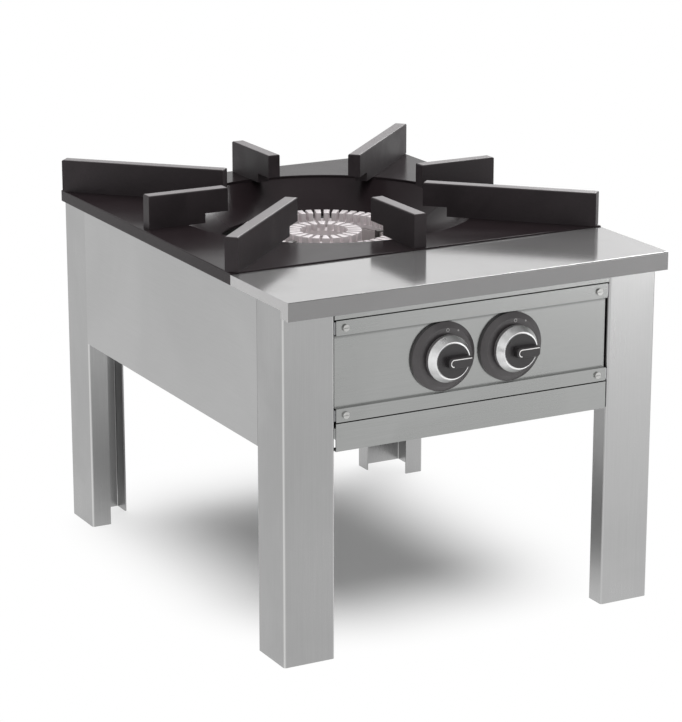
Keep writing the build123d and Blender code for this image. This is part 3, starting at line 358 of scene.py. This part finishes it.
sides = ("left", "right")
nodeFinish = {
    "legSteel": ["leg_front_left", "leg_rear_left", "leg_rear_right"],
    "rightLegPaintedLight": ["leg_front_right"],
    "sideSteel": [f"side_panel_{side}" for side in sides],
    "panelSteel": ["control_panel"],
    "frontSteel": ["front_rail", "drip_tray_front", "drip_tray", "rear_panel"],
    "deckSteel": ["front_deck"],
    "plainSheet": ["panel_lugs", "heat_shield", "burner_rail_front", "burner_rail_rear",
                   "manifold_hangers", "pilot_brackets", "tap_clamps", "tap_bonnets",
                   "tray_runner_left", "tray_runner_right"],
    "blackEnamel": ["top_plate"],
    "castRib": ["pan_ribs_long", "pan_ribs_short"],
    "castBurner": ["burner_body", "mixing_tube_left", "mixing_tube_right"],
    "crownMetal": ["outer_crown", "inner_crown"],
    "knobBlack": [f"knob_{side}" for side in sides],
    "dialBlack": [f"bezel_{side}" for side in sides],
    "ringMetal": [f"knob_ring_{side}" for side in sides],
    "brass": ["injectors", "pipe_nuts", "inlet_nipple", "tap_body_left", "tap_body_right",
              "tap_plug_left", "tap_plug_right"],
    "pipeSteel": ["gas_manifold", "supply_pipes", "pilot_pipes", "flame_sensors", "sensor_leads"],
    "screwSteel": ["panel_screws"],
    "zinc": ["rear_panel_screws", "runner_screws", "rib_screws", "burner_bolts",
             "inlet_lock_nuts", "air_discs", "spindle_left", "spindle_right"],
    "darkSteel": ["pilot_burner_left", "pilot_burner_right"],
}
for finishName, nodeNames in nodeFinish.items():
    for nodeName in nodeNames:
        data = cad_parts[nodeName].data
        data.materials.clear()
        data.materials.append(materials[finishName])
bare = set(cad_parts) - {name for names in nodeFinish.values() for name in names}
print("CAD nodes dressed, without a finish:", sorted(bare))


# helpers for meshes and objects

def addObject(name, data, place=(0, 0, 0)):
    thing = bpy.data.objects.new(name, data)
    thing.location = place
    bpy.context.scene.collection.objects.link(thing)
    return thing


def newPiece(name, shape, finish):
    mesh = bpy.data.meshes.new(name)
    shape.to_mesh(mesh)
    shape.free()
    mesh.materials.append(materials[finish])
    return addObject(name, mesh)


def bridgeLoops(shape, first, second):
    # the ring of four-sided faces between two closed loops of as many vertices
    faces = []
    for step in range(len(first)):
        ahead = (step + 1) % len(first)
        faces.append(shape.faces.new((first[step], first[ahead], second[ahead], second[step])))
    return faces


def latheInto(shape, outline, centre, segments):
    # a closed outline of (radius, height) pairs, turned once round the upright axis through the centre
    rows = []
    for step in range(segments):
        turn = 2 * math.pi * step / segments
        across, along = math.cos(turn), math.sin(turn)
        rows.append([shape.verts.new((centre.x + radius * across, centre.y + radius * along, height))
                     for radius, height in outline])
    faces = []
    for step, row in enumerate(rows):
        faces += bridgeLoops(shape, row, rows[(step + 1) % segments])
    bmesh.ops.recalc_face_normals(shape, faces=faces)


# the slotted crowns: their teeth are set round the ring by one Geometry Nodes tree

crowns = {  # metres: inner and outer radius of the teeth and of the skirt, and height of the slots' bottom
    "outer_crown": {"teeth": 54, "band": (0.084, 0.104), "skirt": (0.0863, 0.1017), "slotRise": 0.010,
                    "body": "outer_burner_crown"},
    "inner_crown": {"teeth": 22, "band": (0.030, 0.048), "skirt": (0.0323, 0.0457), "slotRise": 0.013,
                    "body": "inner_burner_crown"},
}
crownCut = {
    "slot": 0.0038, "rounding": 0.0009, "roundingSteps": 2, "roundingShape": 0.6,
    "skirtDrop": 0.005, "skirtWall": 0.0022, "overlap": 0.0004,
    "ringFaces": 4, "skirtFaces": 2,  # for each tooth
    "smoothAngle": 28,
}


def buildRoundArray():
    tree, source, sink = startGroup(
        "roundArray", "GeometryNodeTree",
        [("Geometry", "NodeSocketGeometry", None), ("Count", "NodeSocketInt", 12),
         ("Radius", "NodeSocketFloat", 0.1), ("Material", "NodeSocketMaterial", None)],
        [("Geometry", "NodeSocketGeometry")])
    count = source.outputs["Count"]
    circle = addNode(tree, "GeometryNodeMeshCircle", (-650, 100),
                     {"Vertices": count, "Radius": source.outputs["Radius"]})
    index = addNode(tree, "GeometryNodeInputIndex", (-650, -250))
    pitch = addMath(tree, "DIVIDE", 2 * math.pi, count, (-450, -350))
    turn = addMath(tree, "MULTIPLY", index.outputs["Index"], pitch, (-300, -250))
    angles = addNode(tree, "ShaderNodeCombineXYZ", (-150, -250), {"Z": turn})
    placed = addNode(tree, "GeometryNodeInstanceOnPoints", (0, 100),
                     {"Points": circle.outputs["Mesh"], "Instance": source.outputs["Geometry"],
                      "Rotation": angles.outputs["Vector"]})
    real = addNode(tree, "GeometryNodeRealizeInstances", (200, 100),
                   {"Geometry": placed.outputs["Instances"]})
    painted = addNode(tree, "GeometryNodeSetMaterial", (400, 100),
                      {"Geometry": real.outputs["Geometry"], "Material": source.outputs["Material"]})
    feed(tree, sink.inputs["Geometry"], painted.outputs["Geometry"])
    return tree


roundArray = buildRoundArray()


def arrayRound(name, shape, finish, count, radius):
    # the shape stands at the origin, with +X as its outward side
    piece = newPiece(name, shape, finish)
    modifier = piece.modifiers.new("array", "NODES")
    modifier.node_group = roundArray
    wanted = {"Count": count, "Radius": radius, "Material": materials[finish]}
    for item in roundArray.interface.items_tree:
        if item.in_out == "INPUT" and item.name in wanted:
            modifier[item.identifier] = wanted[item.name]
    bpy.context.view_layer.update()
    depsgraph = bpy.context.evaluated_depsgraph_get()
    mesh = bpy.data.meshes.new_from_object(piece.evaluated_get(depsgraph))
    bpy.data.objects.remove(piece)
    return mesh


def makeTooth(band, teeth, low, top):
    # one wedge between two slots, centred on the ring's middle radius
    middle = sum(band) / 2
    shape = bmesh.new()
    loops = []
    for radius in band:
        half = radius * math.tan(math.pi / teeth) - crownCut["slot"] / 2
        corners = ((-half, low), (half, low), (half, top), (-half, top))
        loops.append([shape.verts.new((radius - middle, y, z)) for y, z in corners])
    near, far = loops
    shape.faces.new(near)
    shape.faces.new(far)
    bridgeLoops(shape, near, far)
    bmesh.ops.recalc_face_normals(shape, faces=shape.faces)
    # all edges are rounded but those of the underside
    upper = [edge for edge in shape.edges if max(vert.co.z for vert in edge.verts) > low]
    bmesh.ops.bevel(shape, geom=upper, offset=crownCut["rounding"], segments=crownCut["roundingSteps"],
                    affect="EDGES", profile=crownCut["roundingShape"])
    return shape


def buildCrown(name, values):
    low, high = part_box(name)
    seat = low.z + crownCut["skirtDrop"]
    slotLow = low.z + values["slotRise"]
    cut = crownCut["rounding"]
    inner, outer = values["band"]
    tooth = makeTooth(values["band"], values["teeth"], slotLow - crownCut["overlap"], high.z)
    teeth = arrayRound(name + ".teeth", tooth, "crownMetal", values["teeth"], (inner + outer) / 2)
    shape = bmesh.new()
    shape.from_mesh(teeth)
    bpy.data.meshes.remove(teeth)
    bmesh.ops.translate(shape, vec=burnerCentre, verts=shape.verts)
    ring = [(inner, seat + cut), (inner + cut, seat), (outer - cut, seat), (outer, seat + cut),
            (outer, slotLow), (inner, slotLow)]
    latheInto(shape, ring, burnerCentre, values["teeth"] * crownCut["ringFaces"])
    skirtIn, skirtOut = values["skirt"]
    wall = crownCut["skirtWall"]
    for near in (skirtIn, skirtOut - wall):
        far = near + wall
        skirt = [(near, low.z), (far, low.z), (far, seat + cut), (near, seat + cut)]
        latheInto(shape, skirt, burnerCentre, values["teeth"] * crownCut["skirtFaces"])
    piece = newPiece(name + ".slotted", shape, "crownMetal")
    piece.data.shade_smooth()
    piece.data.set_sharp_from_angle(angle=math.radians(crownCut["smoothAngle"]))
    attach(piece, values["body"])
    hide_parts(name)


for crownName, crownValues in crowns.items():
    buildCrown(crownName, crownValues)
print("crowns ready")

# marks on the dials, and a painted highlight on the grips

dial = {  # metres; angles in degrees round the knob's axis, from the right-hand side as seen from the front
    "flatRadius": 0.035, "edgeRadius": 0.0415, "slopeDrop": 0.0045, "thickness": 0.00025,
    "zeroAngle": 85.0, "zeroRadius": 0.0322, "zeroSize": (0.0014, 0.0022),
    "dotAngle": 61.0, "dotRadius": 0.0345, "dotSize": 0.0011, "circleSteps": 24,
}
# the grip's size, for the painted highlight drawn along its edge
grip = {  # metres: reach from the knob's axis to the tail and the tip, and the line drawn inside the edge
    "tail": 0.011, "tip": 0.0205, "width": 0.013, "inset": 0.0019,
    "line": 0.0010, "depth": 0.0002, "proud": 0.00003,
    "tailRounding": 0.95, "tailSteps": 12,  # rounding as a share of the half width
}


def knobPlace(side):
    # the middle of the bezel, at its front
    place = middleOf("bezel_" + side)
    place.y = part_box("bezel_" + side)[0].y
    return place


def dialPoint(centre, x, z, lift):
    # a point on the bezel's face or slope, lifted off it toward the front
    radius = math.hypot(x, z)
    slope = max(0.0, radius - dial["flatRadius"]) / (dial["edgeRadius"] - dial["flatRadius"])
    return centre.x + x, centre.y + slope * dial["slopeDrop"] - lift, centre.z + z


def circleOnDial(centre, angle, radius, size):
    # the lower and the upper outline of a small circle on the bezel
    turn = math.radians(angle)
    middleX, middleZ = radius * math.cos(turn), radius * math.sin(turn)
    lower, upper = [], []
    for step in range(dial["circleSteps"]):
        around = 2 * math.pi * step / dial["circleSteps"]
        x, z = middleX + size * math.cos(around), middleZ + size * math.sin(around)
        lower.append(dialPoint(centre, x, z, -dial["thickness"]))
        upper.append(dialPoint(centre, x, z, dial["thickness"]))
    return lower, upper


def addPatch(shape, outline, opening=None):
    # a thin raised patch from its lower and upper outline, with a hole where an opening is given
    lower, upper = [[shape.verts.new(point) for point in loop] for loop in outline]
    bridgeLoops(shape, lower, upper)
    if opening is None:
        shape.faces.new(upper)
        shape.faces.new(lower[::-1])
        return
    lowerHole, upperHole = [[shape.verts.new(point) for point in loop] for loop in opening]
    bridgeLoops(shape, lowerHole, upperHole)
    bridgeLoops(shape, lower, lowerHole)
    bridgeLoops(shape, upper, upperHole)


def buildDialMarks(side):
    centre = knobPlace(side)
    shape = bmesh.new()
    hole, rim = [circleOnDial(centre, dial["zeroAngle"], dial["zeroRadius"], size)
                 for size in dial["zeroSize"]]
    addPatch(shape, rim, hole)
    addPatch(shape, circleOnDial(centre, dial["dotAngle"], dial["dotRadius"], dial["dotSize"]))
    bmesh.ops.recalc_face_normals(shape, faces=shape.faces)
    piece = newPiece("dial_marks_" + side, shape, "dialMark")
    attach(piece, "frame")


def buildGripPaintedHighlight(side):
    # painted highlight: a narrow bright line round the grip's tail and along its upper edge to the tip
    centre = knobPlace(side)
    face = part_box("knob_" + side)[0].y
    half = grip["width"] / 2 - grip["inset"]
    start, finish = -grip["tail"] + grip["inset"], grip["tip"] - grip["inset"]
    corner = half * grip["tailRounding"]
    path = []
    for step in range(grip["tailSteps"] + 1):
        turn = math.radians(270 - 180 * step / grip["tailSteps"])
        path.append((start + corner + corner * math.cos(turn), half * math.sin(turn)))
    path.append((finish, half))
    shape = bmesh.new()
    rows = []
    for step, (x, z) in enumerate(path):
        before = path[max(step - 1, 0)]
        after = path[min(step + 1, len(path) - 1)]
        along = Vector((after[0] - before[0], after[1] - before[1])).normalized()
        inward = Vector((along.y, -along.x)) * grip["line"]
        edge, inside = (x, z), (x + inward.x, z + inward.y)
        section = ((edge, grip["depth"]), (edge, -grip["proud"]),
                   (inside, -grip["proud"]), (inside, grip["depth"]))
        rows.append([shape.verts.new((centre.x + px, face + lift, centre.z + pz))
                     for (px, pz), lift in section])
    for first, second in zip(rows, rows[1:]):
        bridgeLoops(shape, first, second)
    shape.faces.new(rows[0])
    shape.faces.new(rows[-1])
    bmesh.ops.recalc_face_normals(shape, faces=shape.faces)
    piece = newPiece("grip_painted_highlight_" + side, shape, "gripPaintedHighlight")
    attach(piece, "control_" + side)


# each knob gets its dial marks and the painted highlight on its grip
for side in sides:
    buildDialMarks(side)
    buildGripPaintedHighlight(side)
print("dial marks and grip trim ready")

# floor, world, lamps and camera

studio = {  # metres; the shadow's box on the floor is given by its centre and half sizes
    "floorSize": 60.0, "floorColour": (0.92, 0.92, 0.92), "floorRoughness": 0.9, "floorGloss": 0.1,
    "shadowCentre": (-0.005, 0.06, 0), "shadowHalf": (0.05, 0.13, 10), "shadowFade": 0.26,
    "worldLevel": 0.46, "horizonLevel": 1.0, "zenithLevel": 0.45, "darkensFrom": 0.3,
    "keyStrength": 1.9, "keyFrom": (0.7, 0.5, 2.6), "keySpread": 50.0,
}
lamps = {  # metres and watts: a low one from the right, one behind for reflections only, one high in front
    "fill": dict(place=(1.65, -2.15, 0.16), target=(0.15, -0.3, 0.33), size=(0.9, 0.26), power=4.5),
    "sheen": dict(place=(1.98, 1.45, 2.2), target=(-0.1, 0.1, 0.42), size=(1.3, 1.3), power=60.0,
                  glossOnly=True),
    "front": dict(place=(-0.6, -1.6, 2.6), target=(0, 0, 0.3), size=(1.6, 1.2), power=10.0),
}
view = {  # metres and degrees, with lens and sensor in millimetres, fitted to the photograph
    "place": (-1.60443, -2.9684, 1.22765), "yaw": 28.215, "pitch": -16.048,
    "lens": 147.176, "sensor": 36.0, "farthest": 100.0,
}
white = (1, 1, 1, 1)


def buildFloor():
    half = studio["floorSize"] / 2
    corners = [(-half, -half, 0), (half, -half, 0), (half, half, 0), (-half, half, 0)]
    mesh = bpy.data.meshes.new("floor")
    mesh.from_pydata(corners, [], [(0, 1, 2, 3)])
    floor = addObject("floor", mesh)
    material = bpy.data.materials.new("paleFloor")
    material.use_nodes = True
    tree = material.node_tree
    tree.nodes.clear()
    shader = addNode(tree, "ShaderNodeBsdfPrincipled", (0, 200),
                     {"Base Color": (*studio["floorColour"], 1), "Roughness": studio["floorRoughness"],
                      "Specular IOR Level": studio["floorGloss"]})
    # away from the object's shadow the camera and reflections see plain white paper
    spot = addNode(tree, "ShaderNodeTexCoord", (-1500, 300)).outputs["Object"]
    spot = addVectorMath(tree, "SUBTRACT", spot, studio["shadowCentre"], (-1300, 300))
    spot = addVectorMath(tree, "ABSOLUTE", spot, place=(-1100, 300))
    spot = addVectorMath(tree, "SUBTRACT", spot, studio["shadowHalf"], (-900, 300))
    spot = addVectorMath(tree, "MAXIMUM", spot, (0, 0, 0), (-700, 300))
    away = addVectorMath(tree, "LENGTH", spot, place=(-500, 300))
    fade = addNode(tree, "ShaderNodeMapRange", (-300, 300),
                   {"Value": away, "From Max": studio["shadowFade"]}, interpolation_type="SMOOTHSTEP")
    rays = addNode(tree, "ShaderNodeLightPath", (-500, 600))
    seen = addMath(tree, "MAXIMUM", rays.outputs["Is Camera Ray"], rays.outputs["Is Glossy Ray"],
                   (-300, 600))
    share = addMath(tree, "MULTIPLY", seen, fade.outputs["Result"], (-100, 500))
    paper = addNode(tree, "ShaderNodeEmission", (100, 450), {"Color": white, "Strength": 1.0})
    blend = addNode(tree, "ShaderNodeMixShader", (350, 300),
                    {"Fac": share, 1: shader.outputs["BSDF"], 2: paper.outputs["Emission"]})
    addNode(tree, "ShaderNodeOutputMaterial", (550, 300), {"Surface": blend.outputs["Shader"]})
    mesh.materials.append(material)


def buildWorld():
    world = bpy.data.worlds.new("studio")
    world.use_nodes = True
    tree = world.node_tree
    tree.nodes.clear()
    plain = addNode(tree, "ShaderNodeBackground", (-100, 0),
                    {"Color": white, "Strength": studio["worldLevel"]})
    # the camera and reflections see a white studio that darkens toward its ceiling
    coords = addNode(tree, "ShaderNodeTexCoord", (-900, -150))
    parts = addNode(tree, "ShaderNodeSeparateXYZ", (-700, -150), {0: coords.outputs["Generated"]})
    level = addNode(tree, "ShaderNodeMapRange", (-500, -150),
                    {"Value": parts.outputs["Z"], "From Min": studio["darkensFrom"],
                     "To Min": studio["horizonLevel"], "To Max": studio["zenithLevel"]},
                    interpolation_type="SMOOTHSTEP")
    bright = addNode(tree, "ShaderNodeBackground", (-100, -150),
                     {"Color": white, "Strength": level.outputs["Result"]})
    rays = addNode(tree, "ShaderNodeLightPath", (-700, 200))
    seen = addMath(tree, "MAXIMUM", rays.outputs["Is Camera Ray"], rays.outputs["Is Glossy Ray"],
                   (-450, 200))
    seen = addMath(tree, "MAXIMUM", seen, rays.outputs["Is Transmission Ray"], (-250, 200))
    blend = addNode(tree, "ShaderNodeMixShader", (150, 50),
                    {"Fac": seen, 1: plain.outputs["Background"], 2: bright.outputs["Background"]})
    addNode(tree, "ShaderNodeOutputWorld", (350, 50), {"Surface": blend.outputs["Shader"]})
    bpy.context.scene.world = world


def aimAt(thing, target):
    thing.rotation_euler = (Vector(target) - thing.location).to_track_quat("-Z", "Y").to_euler()


def addSun():
    sun = bpy.data.lights.new("key", "SUN")
    sun.energy = studio["keyStrength"]
    sun.angle = math.radians(studio["keySpread"])
    holder = addObject("key", sun, studio["keyFrom"])
    holder.visible_glossy = False
    aimAt(holder, (0, 0, 0))


def addLamp(name, place, target, size, power, glossOnly=False):
    lamp = bpy.data.lights.new(name, "AREA")
    lamp.shape = "RECTANGLE"
    lamp.size, lamp.size_y = size
    lamp.energy = power
    holder = addObject(name, lamp, place)
    holder.visible_camera = False
    holder.visible_diffuse = not glossOnly
    aimAt(holder, target)


def addCamera():
    camera = bpy.data.cameras.new("camera")
    camera.sensor_fit = "HORIZONTAL"
    camera.sensor_width = view["sensor"]
    camera.lens = view["lens"]
    camera.clip_end = view["farthest"]
    holder = addObject("camera", camera, view["place"])
    holder.rotation_euler = (math.radians(90 + view["pitch"]), 0, -math.radians(view["yaw"]))
    bpy.context.scene.camera = holder


buildFloor()
buildWorld()
addSun()
for lampName, lampValues in lamps.items():
    addLamp(lampName, **lampValues)
addCamera()
bpy.context.scene.view_settings.view_transform = "Standard"
print("studio ready")
